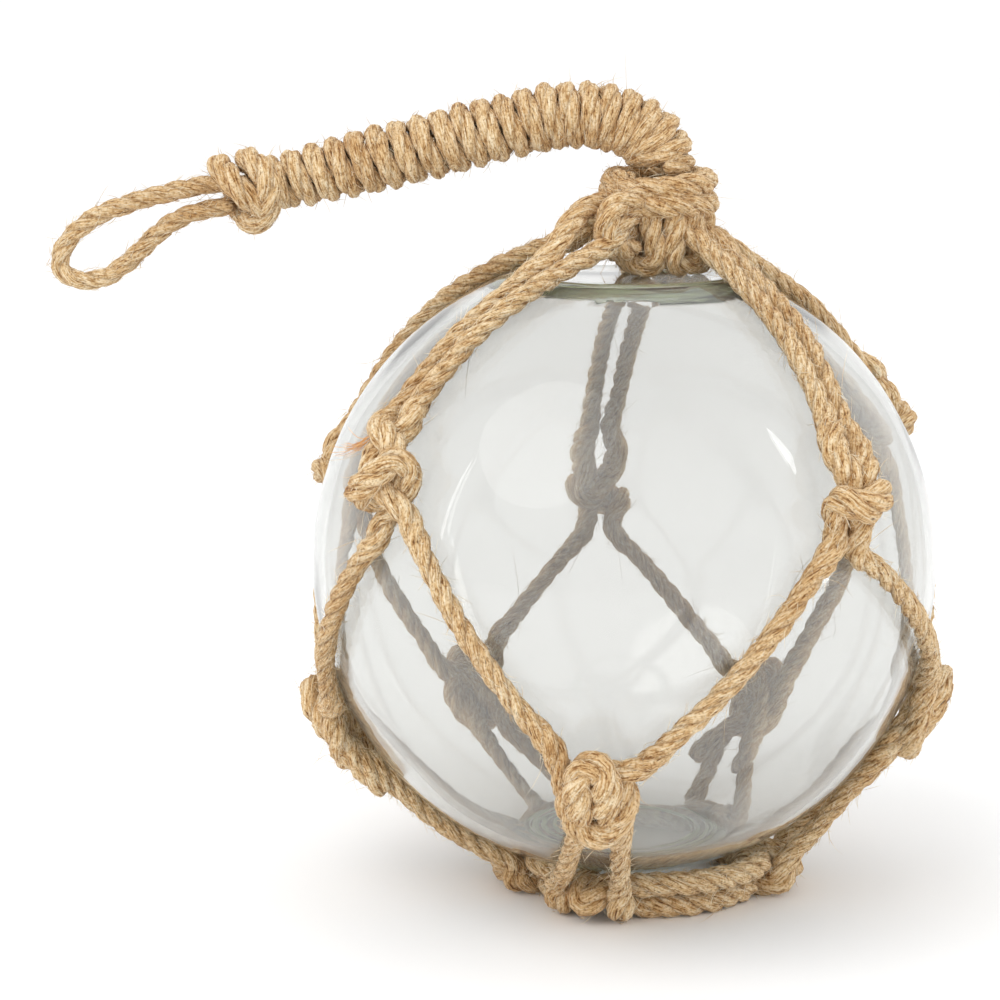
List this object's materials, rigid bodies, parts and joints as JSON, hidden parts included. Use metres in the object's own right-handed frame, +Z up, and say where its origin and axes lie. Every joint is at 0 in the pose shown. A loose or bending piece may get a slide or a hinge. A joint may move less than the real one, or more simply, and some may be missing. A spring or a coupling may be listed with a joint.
{
  "type": "glass float ball",
  "caption": "Clear hollow glass float in a hand-knotted jute rope net, standing on its rope ring, with a whipped rope handle and a hanging loop.",
  "frame": {"origin": "on the surface it stands on, under the middle of the ball and its net (without the handle's rope tail); the ball's own axis stands 4.4 mm in front of it", "axes": "+Z up; the handle bends over towards -X; -Y is the front of the net, +X is to the right when looking at the front"},
  "size_m": [0.291, 0.2208, 0.2615],
  "materials": {
    "clear_glass": "smooth clear soda glass with a slight green tint, thicker and greener at the sealed top and the base",
    "jute_rope": "three-strand laid jute rope, dry and fuzzy with stray fibres",
    "whipping_cord": "jute cord wound tightly round the handle, turn against turn"
  },
  "bodies": {
    "root": {"glass_ball": "clear_glass", "top_collar": "jute_rope", "upper_knot_1": "jute_rope", "upper_leg_1a": "jute_rope", "upper_leg_1b": "jute_rope", "upper_knot_2": "jute_rope", "upper_leg_2a": "jute_rope", "upper_leg_2b": "jute_rope", "upper_knot_3": "jute_rope", "upper_leg_3a": "jute_rope", "upper_leg_3b": "jute_rope", "upper_knot_4": "jute_rope", "upper_leg_4a": "jute_rope", "upper_leg_4b": "jute_rope", "upper_knot_5": "jute_rope", "upper_leg_5a": "jute_rope", "upper_leg_5b": "jute_rope", "lower_knot_1": "jute_rope", "cross_leg_1a": "jute_rope", "cross_leg_1b": "jute_rope", "lower_leg_1a": "jute_rope", "lower_leg_1b": "jute_rope", "bottom_hitch_1": "jute_rope", "lower_knot_2": "jute_rope", "cross_leg_2a": "jute_rope", "cross_leg_2b": "jute_rope", "lower_leg_2a": "jute_rope", "lower_leg_2b": "jute_rope", "bottom_hitch_2": "jute_rope", "lower_knot_3": "jute_rope", "cross_leg_3a": "jute_rope", "cross_leg_3b": "jute_rope", "lower_leg_3a": "jute_rope", "lower_leg_3b": "jute_rope", "bottom_hitch_3": "jute_rope", "lower_knot_4": "jute_rope", "cross_leg_4a": "jute_rope", "cross_leg_4b": "jute_rope", "lower_leg_4a": "jute_rope", "lower_leg_4b": "jute_rope", "bottom_hitch_4": "jute_rope", "lower_knot_5": "jute_rope", "cross_leg_5a": "jute_rope", "cross_leg_5b": "jute_rope", "lower_leg_5a": "jute_rope", "lower_leg_5b": "jute_rope", "bottom_hitch_5": "jute_rope", "bottom_ring": "jute_rope", "handle_grip": "whipping_cord", "handle_end_knot": "jute_rope", "hanging_loop": "jute_rope"}
  },
  "joints": []
}
